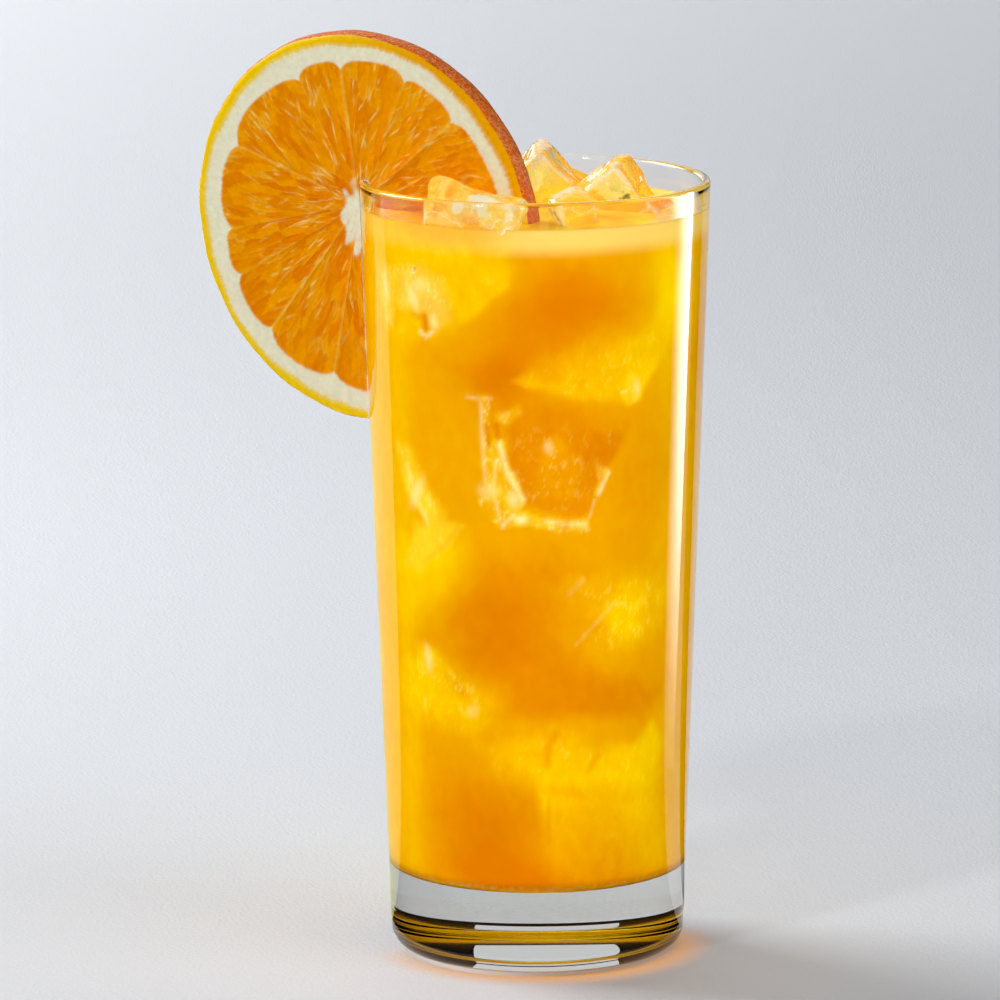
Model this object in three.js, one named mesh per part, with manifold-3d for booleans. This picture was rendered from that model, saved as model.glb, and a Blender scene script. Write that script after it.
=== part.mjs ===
// A tall iced orange drink in a straight-sided glass, with a wheel of orange set on the rim.
// Sizes are in millimetres. Z is the axis of the glass, which stands on Z = 0, and -Y is the front.
import * as THREE from 'three';
import { mergeVertices } from 'three/addons/utils/BufferGeometryUtils.js';
import Module from 'manifold-3d';

const wasm = await Module();
wasm.setup();
const { Manifold, Mesh } = wasm;

// Glass
const GLASS_HEIGHT = 156.2;
const RIM_DIAMETER = 70;
const FOOT_DIAMETER = 58.7;
const HEEL_RADIUS = 4;
const WALL_AT_RIM = 1.9;
const WALL_AT_FOOT = 2.6;
const BASE_THICKNESS = 16.4;
const FLOOR_CORNER_RADIUS = 5;
const GLASS_FACETS = 96;
const ARC_STEPS = 5;

// Drink
const DRINK_LEVEL = 150;
const FIT_GAP = 0.3;

// Orange wheel
const SLICE_RADIUS = 39.6;
const SLICE_THICKNESS = 5.4;
const SLICE_CENTRE = [-33.3, 0, 146.8];
const SLICE_TURN_DEG = 32.4;
const SLICE_LEAN_DEG = 4.8;
const HUB_OFFSET = [-0.4, 4.5];
const CORE_RADIUS = 2;
const FLESH_RADIUS = 33;
const ZEST_THICKNESS = 2.3;
const SCALLOP_DEPTH = 1.8;
const FLESH_BULGE = 0.55;
const MEMBRANE_GROOVE = 0.45;
const PITH_DROP = 0.25;
const EDGE_ROUNDING = 1.1;
const SEGMENT_EDGES_DEG = [12, 45.7, 68.6, 95.7, 114.4, 153.3, 184.9, 202, 224.1, 254, 287, 317, 344];
const SEGMENT_STATIONS = [-1, -0.78, -0.4, 0, 0.4, 0.78];

// Ice that stands out of the drink: middle, size, turns about X, Y and Z in degrees
const ICE = [
  { name: 'ice_back', at: [1.6, 13.5, 148.8], size: [18, 17, 18.5], turn: [8, 42, 6] },
  { name: 'ice_right', at: [16.9, -3.8, 148.6], size: [18.2, 13.5, 16.5], turn: [6, 48, -8] },
  { name: 'ice_front', at: [-12.8, -24.1, 148], size: [18.4, 8, 19.6], turn: [0, 14, -27] },
  { name: 'ice_middle', at: [8.2, -19.2, 148.6], size: [9, 9.4, 14], turn: [4, -14, 18] },
];
const ICE_CORNER_RADIUS = 2.3;
const ICE_MELT = 0.32;
const ICE_DIVISIONS = 7;

const rad = THREE.MathUtils.degToRad;

function outerRadius(z) {
  const grow = (RIM_DIAMETER - FOOT_DIAMETER) / 2;
  return FOOT_DIAMETER / 2 + grow * (z / GLASS_HEIGHT);
}

function innerRadius(z) {
  const wall = WALL_AT_FOOT + (WALL_AT_RIM - WALL_AT_FOOT) * (z / GLASS_HEIGHT);
  return outerRadius(z) - wall;
}

// Points on an arc about (r, z), from one angle to another, both ends counted.
function arc(r, z, radius, fromDeg, toDeg) {
  const points = [];
  for (let i = 0; i <= ARC_STEPS; i += 1) {
    const angle = rad(fromDeg + ((toDeg - fromDeg) * i) / ARC_STEPS);
    points.push([r + radius * Math.cos(angle), z + radius * Math.sin(angle)]);
  }
  return points;
}

// A closed surface through rows of points; a row of one point is a pole.
function skin(rows, looped) {
  const positions = [];
  const starts = [];
  for (const row of rows) {
    starts.push(positions.length / 3);
    for (const p of row) positions.push(p[0], p[1], p[2]);
  }
  const index = [];
  const last = looped ? rows.length : rows.length - 1;
  for (let i = 0; i < last; i += 1) {
    const k = (i + 1) % rows.length;
    const near = rows[i].length;
    const far = rows[k].length;
    const count = Math.max(near, far);
    for (let j = 0; j < count; j += 1) {
      const next = (j + 1) % count;
      const a = starts[i] + (near === 1 ? 0 : j);
      const b = starts[i] + (near === 1 ? 0 : next);
      const c = starts[k] + (far === 1 ? 0 : next);
      const d = starts[k] + (far === 1 ? 0 : j);
      if (near > 1) index.push(a, b, c);
      if (far > 1) index.push(a, c, d);
    }
  }
  const geometry = new THREE.BufferGeometry();
  geometry.setAttribute('position', new THREE.Float32BufferAttribute(positions, 3));
  geometry.setIndex(index);
  return geometry;
}

// A profile of [radius, height] points turned about Z.
function revolve(profile, looped) {
  const rows = profile.map(([r, z]) => {
    if (r === 0) return [[0, 0, z]];
    const row = [];
    for (let j = 0; j < GLASS_FACETS; j += 1) {
      const angle = (2 * Math.PI * j) / GLASS_FACETS;
      row.push([r * Math.cos(angle), r * Math.sin(angle), z]);
    }
    return row;
  });
  return skin(rows, looped);
}

function glassGeometry() {
  const rimRadius = WALL_AT_RIM / 2;
  const rimZ = GLASS_HEIGHT - rimRadius;
  const heelR = outerRadius(HEEL_RADIUS) - HEEL_RADIUS;
  const cornerZ = BASE_THICKNESS + FLOOR_CORNER_RADIUS;
  const cornerR = innerRadius(cornerZ) - FLOOR_CORNER_RADIUS;
  return revolve([
    [0, 0],
    ...arc(heelR, HEEL_RADIUS, HEEL_RADIUS, -90, 0),
    ...arc(outerRadius(rimZ) - rimRadius, rimZ, rimRadius, 0, 180),
    ...arc(cornerR, cornerZ, FLOOR_CORNER_RADIUS, 0, -90),
    [0, BASE_THICKNESS],
  ], false);
}

// The wall above the base, thicker all round by grow: the slot it leaves in the orange wheel.
function wallGeometry(grow) {
  const low = 2 * BASE_THICKNESS;
  const rimRadius = WALL_AT_RIM / 2;
  const rimZ = GLASS_HEIGHT - rimRadius;
  return revolve([
    [outerRadius(low) + grow, low],
    ...arc(outerRadius(rimZ) - rimRadius, rimZ, rimRadius + grow, 0, 180),
    [innerRadius(low) - grow, low],
  ], true);
}

function drinkGeometry() {
  const cornerZ = BASE_THICKNESS + FLOOR_CORNER_RADIUS;
  const cornerR = innerRadius(cornerZ) - FLOOR_CORNER_RADIUS;
  return revolve([
    [0, BASE_THICKNESS + FIT_GAP],
    ...arc(cornerR, cornerZ, FLOOR_CORNER_RADIUS - FIT_GAP, -90, 0),
    [innerRadius(DRINK_LEVEL) - FIT_GAP, DRINK_LEVEL],
    [0, DRINK_LEVEL],
  ], false);
}

function sliceFrame() {
  const turn = rad(SLICE_TURN_DEG);
  const lean = rad(SLICE_LEAN_DEG);
  const across = new THREE.Vector3(Math.cos(turn), -Math.sin(turn), 0);
  const face = new THREE.Vector3(
    -Math.sin(turn) * Math.cos(lean),
    -Math.cos(turn) * Math.cos(lean),
    -Math.sin(lean),
  );
  const upward = new THREE.Vector3().crossVectors(face, across);
  const frame = new THREE.Matrix4().makeBasis(across, upward, face);
  frame.setPosition(...SLICE_CENTRE);
  return frame;
}

// Angle and place across its segment, from -1 to 1, of every column of the orange wheel.
function sliceColumns() {
  const columns = [];
  SEGMENT_EDGES_DEG.forEach((from, i) => {
    const last = i === SEGMENT_EDGES_DEG.length - 1;
    const to = last ? SEGMENT_EDGES_DEG[0] + 360 : SEGMENT_EDGES_DEG[i + 1];
    for (const across of SEGMENT_STATIONS) {
      columns.push({ angle: rad(from + ((to - from) * (across + 1)) / 2), across });
    }
  });
  return columns;
}

// The wheel cut across the fruit: sunk membranes, swollen segments, pith, zest and a rounded edge.
function sliceGeometry() {
  const half = SLICE_THICKNESS / 2;
  const columns = sliceColumns();
  const pithRadius = SLICE_RADIUS - ZEST_THICKNESS;
  const fleshRow = (part) => columns.map(({ angle, across }) => {
    const edge = FLESH_RADIUS - SCALLOP_DEPTH * across ** 4;
    const x = HUB_OFFSET[0] + (edge * Math.cos(angle) - HUB_OFFSET[0]) * part;
    const y = HUB_OFFSET[1] + (edge * Math.sin(angle) - HUB_OFFSET[1]) * part;
    const swell = Math.sin(Math.PI * part ** 0.8) ** 0.6;
    const rise = FLESH_BULGE * (1 - across ** 4) - MEMBRANE_GROOVE * across ** 8;
    return [x, y, half - FLESH_BULGE + rise * swell];
  });
  const ring = (radius, height) => columns.map(({ angle }) => (
    [radius * Math.cos(angle), radius * Math.sin(angle), height]
  ));
  const coreShare = CORE_RADIUS / FLESH_RADIUS;
  const faceRows = [[[HUB_OFFSET[0], HUB_OFFSET[1], half - 2 * FLESH_BULGE]]];
  for (const part of [coreShare, 0.16, 0.34, 0.54, 0.74, 0.88, 0.96, 0.999]) faceRows.push(fleshRow(part));
  faceRows.push(ring((FLESH_RADIUS + pithRadius) / 2, half - PITH_DROP));
  faceRows.push(ring(pithRadius, half - PITH_DROP / 2));
  faceRows.push(ring(SLICE_RADIUS - EDGE_ROUNDING, half));
  faceRows.push(ring(SLICE_RADIUS - 0.3 * EDGE_ROUNDING, half - 0.3 * EDGE_ROUNDING));
  faceRows.push(ring(SLICE_RADIUS, half - EDGE_ROUNDING));
  const backRows = faceRows.map((row) => row.map(([x, y, z]) => [x, y, -z]));
  return skin([...backRows, ...faceRows.reverse()], false).applyMatrix4(sliceFrame());
}

// The room the orange wheel takes up in the drink.
function sliceRoomGeometry() {
  const radius = SLICE_RADIUS + FIT_GAP;
  const half = SLICE_THICKNESS / 2 + FIT_GAP;
  const columns = sliceColumns();
  const ring = (height) => columns.map(({ angle }) => (
    [radius * Math.cos(angle), radius * Math.sin(angle), height]
  ));
  return skin([[[0, 0, -half]], ring(-half), ring(half), [[0, 0, half]]], false).applyMatrix4(sliceFrame());
}

// A block with rounded edges and gently melted faces.
function iceGeometry({ at, size, turn }, grow) {
  const box = new THREE.BoxGeometry(2, 2, 2, ICE_DIVISIONS, ICE_DIVISIONS, ICE_DIVISIONS);
  box.deleteAttribute('normal');
  box.deleteAttribute('uv');
  const block = mergeVertices(box, 1e-4);
  const place = block.getAttribute('position');
  const half = new THREE.Vector3(...size).multiplyScalar(0.5);
  const inner = half.clone().subScalar(ICE_CORNER_RADIUS);
  const point = new THREE.Vector3();
  const core = new THREE.Vector3();
  for (let i = 0; i < place.count; i += 1) {
    point.fromBufferAttribute(place, i).multiply(half);
    core.copy(point);
    core.clamp(inner.clone().negate(), inner);
    const outward = point.clone().sub(core).normalize();
    const rows = Math.sin(0.31 * point.x + at[0]);
    const dents = Math.sin(0.37 * point.y + at[1]) * Math.cos(0.28 * point.z + at[2]);
    point.copy(core).addScaledVector(outward, ICE_CORNER_RADIUS + grow + 0.5 * ICE_MELT * (rows + dents));
    place.setXYZ(i, point.x, point.y, point.z);
  }
  const spin = new THREE.Euler(rad(turn[0]), rad(turn[1]), rad(turn[2]), 'ZYX');
  block.applyMatrix4(new THREE.Matrix4().makeRotationFromEuler(spin).setPosition(...at));
  return block;
}

function toSolid(geometry) {
  return new Manifold(new Mesh({
    numProp: 3,
    vertProperties: new Float32Array(geometry.getAttribute('position').array),
    triVerts: new Uint32Array(geometry.index.array),
  }));
}

function toGeometry(solid) {
  const mesh = solid.getMesh();
  const geometry = new THREE.BufferGeometry();
  geometry.setAttribute('position', new THREE.Float32BufferAttribute(mesh.vertProperties, 3));
  geometry.setIndex(Array.from(mesh.triVerts));
  return geometry;
}

function largestBody(solid) {
  const bodies = solid.decompose();
  bodies.sort((a, b) => b.volume() - a.volume());
  return bodies[0];
}

const group = new THREE.Group();
group.name = 'iced_drink';

function addMesh(name, geometry, color, roughness) {
  geometry.computeVertexNormals();
  const mesh = new THREE.Mesh(geometry, new THREE.MeshStandardMaterial({ color, roughness, name }));
  mesh.name = name;
  group.add(mesh);
}

addMesh('glass', glassGeometry(), 0xdfe6e8, 0.05);

const slot = toSolid(wallGeometry(FIT_GAP));
addMesh('orange_slice', toGeometry(largestBody(toSolid(sliceGeometry()).subtract(slot))), 0xe8860a, 0.4);

let drink = toSolid(drinkGeometry()).subtract(toSolid(sliceRoomGeometry()));
for (const block of ICE) {
  drink = drink.subtract(toSolid(iceGeometry(block, FIT_GAP)));
  addMesh(block.name, iceGeometry(block, 0), 0xf3e6b8, 0.1);
}
addMesh('drink', toGeometry(largestBody(drink)), 0xf5a800, 0.3);

export default group;
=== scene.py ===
import math

import bpy
import numpy as np
from mathutils import Euler, Matrix, Vector, noise


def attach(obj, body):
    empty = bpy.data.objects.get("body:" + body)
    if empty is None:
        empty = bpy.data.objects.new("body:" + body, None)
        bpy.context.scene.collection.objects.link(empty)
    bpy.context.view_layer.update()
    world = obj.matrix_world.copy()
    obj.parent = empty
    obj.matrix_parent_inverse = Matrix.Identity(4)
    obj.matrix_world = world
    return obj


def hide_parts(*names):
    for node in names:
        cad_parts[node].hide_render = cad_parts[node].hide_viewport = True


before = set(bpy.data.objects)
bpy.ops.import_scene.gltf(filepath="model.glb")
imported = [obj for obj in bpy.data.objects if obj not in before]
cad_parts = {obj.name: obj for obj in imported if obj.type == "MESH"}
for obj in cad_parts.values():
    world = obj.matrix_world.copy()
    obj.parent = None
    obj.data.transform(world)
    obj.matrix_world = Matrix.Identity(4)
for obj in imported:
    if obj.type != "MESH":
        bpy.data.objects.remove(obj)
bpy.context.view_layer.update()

# Sizes in millimetres, as in the part's source; meshes are made in metres.
MM = 0.001
GLASS_HEIGHT = 156.2
RIM_RADIUS = 35.0
FOOT_RADIUS = 29.35
HEEL_RADIUS = 4.0
WALL_AT_RIM = 1.9
WALL_AT_FOOT = 2.6
BASE_THICKNESS = 16.4
FLOOR_CORNER_RADIUS = 5.0
DRINK_LEVEL = 150.0
INTO_WALL = 0.15
# How the drink creeps up the wall: distance from the wall, height over the drink's level.
DRINK_CREEP = ((0.25, 0.5), (0.8, 0.2), (1.8, 0.03))
# Rough radius of the drink's side, for distances along it.
DRINK_MEAN_RADIUS = 31.5

# Columns and rows of the meshes. The drink's columns are finer up to a bearing on each side of the front.
GLASS_COLUMNS = 256
DRINK_WALL_ROWS = 200
DRINK_FRONT = 84
DRINK_FRONT_COLUMNS = 258
DRINK_BACK_COLUMNS = 100
SLICE_COLUMNS = 580
SLOT_COLUMNS = 192
ICE_DIVISIONS = 54
ICE_ROOM_DIVISIONS = 30
ICE_SEED = 40
HIDDEN_SIDE_SEED = 5751
SLICE_SEED = 77

SLICE_RADIUS = 39.6
SLICE_THICKNESS = 5.4
SLICE_CENTRE = np.array([-33.3, 0.0, 146.8])
SLICE_TURN = math.radians(32.4)
SLICE_LEAN = math.radians(4.8)
HUB = np.array([-0.4, 4.5])
FLESH_RADIUS = 34.2
ZEST_THICKNESS = 2.3
SCALLOP_DEPTH = 1.8
SLOT_PLAY = 0.06
SAC_LENGTH = 4.6
SAC_WIDTH = 1.25
GLINTS = 240
PORES = 1100
SEGMENT_EDGES_DEG = [12, 45.7, 68.6, 95.7, 114.4, 153.3, 184.9, 202, 224.1, 254, 287, 317, 344]
MEMBRANE_STRENGTH = [0.8, 0.7, 0.35, 0.9, 0.5, 0.8, 0.35, 0.45, 1.0, 0.9, 0.4, 0.6, 0.5]

ICE_CORNER_RADIUS = 2.0
# Waves melted into the ice: how close they are and how deep.
ICE_MELT = ((0.3, 0.5), (0.62, 0.24), (1.4, 0.07))
# Ice that stands out of the drink: middle, size, turn in degrees, and how cloudy it is.
ICE_OUT = {
    "ice_back": ((1.6, 13.5, 148.8), (18, 17, 18.5), (8, 42, 6), 0.4),
    "ice_right": ((16.9, -3.8, 148.6), (18.2, 13.5, 16.5), (6, 48, -8), 0.08),
    "ice_front": ((-12.8, -24.1, 148), (18.4, 8, 19.6), (0, 14, -27), 0.65),
    "ice_middle": ((8.2, -19.2, 148.6), (9, 9.4, 14), (4, -14, 18), 0.08),
}

# Colours, linear.
ICE_WET = (1.0, 0.84, 0.15)
ICE_DRY = (1.0, 0.77, 0.22)
ICE_CLOUDED = (1.0, 0.72, 0.1)
ICE_WHITE = (1.0, 0.93, 0.72)
# The drink's colours from painted shade to painted light.
DRINK_SHADE_TO_LIGHT = [(0.69, 0.18, 0), (0.74, 0.25, 0), (0.81, 0.35, 0), (0.9, 0.5, 0), (0.98, 0.64, 0)]
FLESH_DEEP = (0.82, 0.18, 0.0)
FLESH_LIGHT = (1.0, 0.38, 0.0)
MEMBRANE_COLOUR = (1.0, 0.6, 0.08)
GLINT_COLOUR = (1.0, 0.76, 0.24)
PITH_COLOUR = (0.9, 0.84, 0.6)
PEEL_COLOUR = (0.78, 0.11, 0.0)
PORE_SHADE_COLOUR = (0.546, 0.077, 0.0)
PORE_RIM_HIGHLIGHT = (1.0, 0.62, 0.3)
WHITE = (1, 1, 1)
DARK = (0.02, 0.02, 0.02)

# Lamps: name, place, target, width, height, power, colour, and other rays than the camera's to hide from.
LAMPS = [
    ("key", (-0.62, 0.42, 0.66), (0, 0, 0.06), 0.5, 0.5, 6.9, WHITE, ["transmission"]),
    ("fill", (-0.1, -1.1, 0.22), (0, 0, 0.09), 0.5, 0.3, 5, (0.92, 0.96, 1), ["glossy", "transmission"]),
    ("side", (0.6, -0.35, 0.4), (0, 0, 0.08), 0.5, 0.5, 1.6, (0.9, 0.95, 1), ["glossy", "transmission"]),
    ("sparkle", (-0.5, -0.6, 0.7), (0, 0, 0.15), 0.08, 0.08, 1.3, WHITE, []),
    ("right_strip", (0.1604, 0.0482, 0.1), (0.03, -0.016, 0.1), 0.0582, 0.2, 0.32, WHITE, ["diffuse"]),
    ("left_line", (-0.45, 1.4, 0.35), (0.15, 1.4, 0), 1.2, 0.25, 2.8, WHITE, ["transmission"]),
    ("overhead", (0, 1.8, 1.3), (0, 1.6, 0), 1.2, 1.2, 4.8, WHITE, ["transmission"]),
    ("back_panel", (-0.1, 2.0, 0.7), (0, 0.6, 0.1), 1.6, 1.0, 3.9, WHITE, []),
]
# Cloths on the floor: name, first and last bearing, colour. They reach from the foot to far off.
CLOTHS = [
    ("front_cloth", -117, 104, DARK),
    ("right_cloth", 129, 143, DARK),
    ("left_cloth", -170, -117, (0.75, 0.8, 0.43)),
]
CLOTH_RADII = (38, 4000)

# The photo's camera: distance in metres, the point it looks at in millimetres.
CAMERA_DISTANCE = 1.51109
CAMERA_TARGET = (-7.22, 0, 91.034)
CAMERA_ELEVATION_DEG = 10.739
CAMERA_ROLL_DEG = -0.243
CAMERA_LENS = 271.31

# Soft painted light and shade in the drink: bearing from the front, height, half width, half height,
# strength.
SUNK_GLOW = [
    (10, 135, 11, 8, -0.48),
    (-14, 121.5, 9, 5, -0.4),
    (-8, 127, 7, 5, -0.2),
    (52, 137, 6, 11, 0.38),
    (3, 113, 12, 4, -0.3),
    (42, 98, 9, 14, -0.12),
    (-14, 72, 12, 11, -0.4),
    (2, 63, 12, 6, -0.2),
    (5, 83, 9, 5, -0.12),
    (-21, 29, 14, 12, -0.42),
    (-12, 19, 9, 5, -0.2),
    (52, 60, 5, 9, -0.15),
    (12, 18, 16, 5, -0.3),
    (-22, 20, 12, 5, -0.15),
]
# Faces of the sunk ice seen through the glass, as corners of bearing, height, painted light and softness,
# then how milky each face is and how strongly painted glints cross it.
SUNK_FACES = [
    (
        [(-74, 149, 0.85, 4), (-8, 148, 0.7, 3), (-10, 140, 0.76, 1.2), (-20, 133.8, 0.74, 1.2)]
        + [(-33, 129, 0.68, 3), (-60, 126, 0.75, 5), (-76, 130, 0.8, 5)],
        0.0,
        0.06,
    ),
    (
        [(-53, 140, 0.8, 3), (-43, 142, 0.8, 3), (-34, 140, 0.8, 3), (-31, 133, 0.75, 3)]
        + [(-35.5, 129.8, 0.7, 1.5), (-40, 132.8, 0.7, 1), (-44, 133, 0.75, 1), (-52, 133.5, 0.8, 2.5)],
        0.12,
        0.45,
    ),
    (
        [(-66, 140, 0.9, 2), (-59, 140.5, 0.9, 1.5), (-56.5, 136, 0.9, 1.5), (-58.5, 129.6, 0.9, 1.5)]
        + [(-63, 129.8, 0.9, 2)],
        0.12,
        0.4,
    ),
    (
        [(-9, 121.2, 0.5, 0.6), (4, 124, 0.42, 3), (22, 127.5, 0.52, 4.5), (47, 130, 0.75, 4)]
        + [(50, 125, 0.8, 1.5), (45, 121, 0.86, 1), (40.5, 116.2, 0.82, 1), (37, 114.3, 0.7, 1.5)]
        + [(27, 115.9, 0.66, 1.2), (10, 117.6, 0.66, 1.2), (-2, 119.6, 0.62, 0.8)],
        0.0,
        0.12,
    ),
    (
        [(34, 120.5, 0.9, 1.2), (41, 121, 0.9, 1.5), (39, 115.5, 0.88, 1.2), (34, 114.5, 0.82, 1)]
        + [(31, 117, 0.8, 1.5)],
        0.03,
        0.45,
    ),
    (
        [(-12, 113.5, 0.2, 1.5), (6, 112, 0.15, 3), (33, 110.5, 0.25, 2.5), (26, 103, 0.14, 1)]
        + [(20, 95, 0.24, 1), (16, 93.5, 0.3, 0.8), (-3, 95.8, 0.24, 0.7), (-9, 103, 0.17, 0.8)],
        0.0,
        0.12,
    ),
    (
        [(0, 109, 0.36, 1.2), (7, 110.5, 0.42, 1.2), (15, 105.5, 0.34, 1.2), (14, 98, 0.4, 1.8)]
        + [(1, 98, 0.34, 1.8)],
        0.0,
        0.35,
    ),
    (
        [(13, 107, 0.12, 1.2), (20, 110, 0.14, 1.5), (29, 108.5, 0.14, 1.5), (26, 104.5, 0.08, 1)]
        + [(17, 104, 0.06, 1)],
        0.0,
        0.1,
    ),
    (
        [(-20.6, 118, 0.5, 0.8), (-17.2, 118, 0.55, 0.6), (-17.8, 112, 0.5, 0.6), (-17.4, 107.5, 0.6, 0.5)]
        + [(-15.4, 109, 0.65, 0.6), (-11.8, 108.8, 0.75, 0.5), (-8.8, 103, 0.75, 0.5)]
        + [(-3.2, 96.4, 0.85, 0.6), (-6, 94.2, 0.75, 0.6), (-14, 91.5, 0.68, 0.8)]
        + [(-20.5, 95.8, 0.6, 1.2), (-19, 104, 0.55, 1)],
        0.02,
        0.7,
    ),
    (
        [(-16, 114.6, 0.5, 0.6), (-11, 115.2, 0.55, 0.8), (-6.8, 116.6, 0.55, 0.8), (-6.4, 114.8, 0.5, 0.8)]
        + [(-11, 112.4, 0.5, 0.6), (-15.8, 112.6, 0.5, 0.6)],
        0.02,
        0.2,
    ),
    (
        [(-14, 91, 0.6, 0.7), (-8, 94.8, 0.7, 0.6), (-3, 94.5, 0.8, 0.5), (3, 93.3, 0.72, 0.5)]
        + [(19, 93.2, 0.65, 0.5), (19.5, 91, 0.5, 0.8), (10, 90.6, 0.5, 1), (-4, 91.6, 0.75, 0.6)],
        0.04,
        0.5,
    ),
    (
        [(20, 104.5, 0.4, 1), (23, 103, 0.5, 0.8), (27, 102.2, 0.75, 0.6), (24, 98.5, 0.65, 0.5)]
        + [(22, 97.5, 0.55, 0.6), (23, 100.5, 0.4, 0.8)],
        0.05,
        0.4,
    ),
    (
        [(-62, 87, 0.9, 3), (-40, 87, 0.92, 2.5), (-26, 89, 0.68, 3), (-27, 80, 0.58, 5), (-40, 73, 0.7, 5)]
        + [(-62, 70, 0.85, 4)],
        0.0,
        0.0,
    ),
    (
        [(-57, 106, 0.85, 2), (-50, 104, 0.9, 3), (-44, 99, 0.92, 3), (-37, 93.5, 0.88, 3)]
        + [(-38, 90, 0.9, 2), (-42.5, 90.2, 0.95, 0.8), (-48, 93.5, 0.95, 0.8), (-54.5, 97.5, 0.9, 1.5)],
        0.05,
        0.3,
    ),
    (
        [(-50, 91, 0.9, 2.5), (-38, 91.5, 0.9, 2), (-27, 90.8, 0.75, 1), (-34, 86.8, 0.84, 1.5)]
        + [(-42, 84, 0.92, 1.5), (-48, 81, 0.9, 2.5), (-55, 82, 0.88, 3)],
        0.04,
        0.12,
    ),
    (
        [(7, 79, 0.45, 3), (16, 82, 0.52, 2.5), (30, 82, 0.6, 3), (45, 80, 0.66, 3), (57, 75, 0.72, 3)]
        + [(48, 69, 0.68, 3), (38, 66, 0.66, 3), (30, 64.5, 0.54, 3)]
        + [(15, 67, 0.45, 1.8), (24, 72, 0.5, 1.5)],
        0.0,
        0.12,
    ),
    (
        [(22, 74.5, 0.65, 2.5), (33, 80, 0.75, 3), (42, 76, 0.85, 3), (40, 70, 0.95, 3), (32, 67, 0.75, 3)]
        + [(27, 71, 0.8, 1.2)],
        0.0,
        0.2,
    ),
    (
        [(-8, 62, 0.15, 3), (10, 63, 0.12, 3), (40, 60, 0.2, 4), (54, 56, 0.3, 3), (45, 51, 0.3, 2.5)]
        + [(25, 52.5, 0.12, 2.5), (5, 52.5, 0.15, 2.5), (-12, 54, 0.2, 3)],
        0.0,
        0.0,
    ),
    (
        [(-50, 65.5, 0.85, 2), (-43.5, 66, 0.9, 1.5), (-36, 63.5, 0.7, 2.5), (-27, 59.5, 0.62, 2.5)]
        + [(-17, 57.8, 0.55, 2), (-16.5, 54, 0.58, 2.5), (-25, 50.5, 0.8, 3), (-42, 50, 0.75, 4)]
        + [(-60, 53, 0.85, 4), (-58, 60, 0.88, 3)],
        0.0,
        0.15,
    ),
    ([(-37, 61, 0.6, 1.5), (-31, 59.5, 0.5, 1.5), (-27, 57, 0.52, 1.2), (-33, 56.5, 0.62, 1.5)], 0.0, 0.5),
    (
        [(-22, 47.5, 0.6, 3.5), (-4, 48.5, 0.65, 2), (2, 49.8, 0.6, 2), (12, 49.8, 0.6, 2.5)]
        + [(22, 46, 0.6, 2.5), (40, 46.5, 0.8, 1.5), (50, 50, 0.92, 1.5), (55, 44, 0.8, 2.5)]
        + [(50, 36, 0.85, 4), (38, 36, 0.95, 4), (20, 38, 0.86, 4), (3, 38, 0.84, 3)]
        + [(-3, 40.5, 0.72, 3), (-14, 42, 0.6, 4)],
        0.0,
        0.08,
    ),
    (
        [(1, 37.5, 0.78, 1.8), (50, 36, 0.82, 5), (58, 22, 0.7, 4), (30, 18, 0.35, 4), (8, 18, 0.22, 3)]
        + [(3, 28, 0.52, 1.2)],
        0.0,
        0.04,
    ),
]
# Milky frost and painted white highlights on the sunk ice:
# bearing, height, half width, half height, tilt, strength.
SUNK_FROST = [
    (-46, 135.6, 1.3, 2.6, 20, 0.5),
    (-43, 138.5, 2.6, 1.8, 30, 0.35),
    (-37, 131.5, 1.2, 1.8, 10, 0.4),
    (-60.5, 137, 1.1, 3.2, 8, 0.45),
    (-17, 98.5, 2.2, 1.6, 0, 0.3),
    (-7.5, 97, 1.4, 1.8, 25, 0.5),
    (-5, 92.8, 1.4, 0.8, 0, 0.6),
    (-48, 97, 1.4, 3.2, -38, 0.45),
    (-45.5, 63.5, 1.2, 2.6, 8, 0.35),
    (-26, 54, 1.4, 1.2, 0, 0.2),
    (4, 108, 0.9, 1.2, 10, 0.35),
    (38, 118, 0.8, 1.6, 15, 0.35),
]
# Painted highlights along edges of the sunk ice, and painted shadows where strength is below 0:
# points of bearing and height, width, strength.
SUNK_EDGES = [
    ([(-25, 117.4), (-20, 116.8), (-16, 117.3)], 0.4, 0.25),
    ([(-19.8, 116), (-19.4, 108), (-18.6, 100)], 0.45, 0.35),
    ([(-13.2, 108), (-10.2, 102), (-5, 97)], 0.55, 0.65),
    ([(-14.5, 105), (-15.6, 98), (-13, 92.5)], 0.4, 0.35),
    ([(-12.5, 91.6), (-9, 93.6), (-4, 92.8)], 0.45, 0.55),
    ([(3, 92.8), (11, 92), (18, 91.6)], 0.5, 0.35),
    ([(26.4, 101.8), (24.2, 99.4), (22.6, 97.6)], 0.4, 0.5),
    ([(21, 96.5), (19.2, 93)], 0.3, 0.3),
    ([(-43.5, 129.4), (-41, 128.5), (-38.2, 129.6)], 0.45, 0.6),
    ([(-53, 102), (-48, 95.6), (-43, 91)], 0.6, 0.35),
    ([(14.5, 67.5), (22, 71.5), (30, 75.6)], 0.45, 0.12),
    ([(12, 78), (17, 80.6)], 0.7, 0.1),
    ([(-17.6, 111.5), (-17.2, 107.6)], 0.5, -0.5),
    ([(-14.2, 112), (-13.8, 109.6)], 0.5, -0.35),
    ([(-41.4, 132.4), (-41, 130.4)], 0.9, -0.6),
    ([(-47, 132.8), (-44, 132.2)], 0.6, -0.3),
    ([(7, 49.4), (3.8, 46.6), (3.9, 43.4)], 0.9, -0.25),
    ([(24, 44.4), (20, 41.6)], 0.7, -0.2),
    ([(4.2, 36), (4.6, 27)], 0.5, -0.18),
    ([(-30, 90.6), (-37, 86.2), (-46, 82.6)], 0.6, -0.15),
]


def outer_radius(z):
    """Radius of the outside of the glass at a height."""
    return FOOT_RADIUS + (RIM_RADIUS - FOOT_RADIUS) * z / GLASS_HEIGHT


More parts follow.
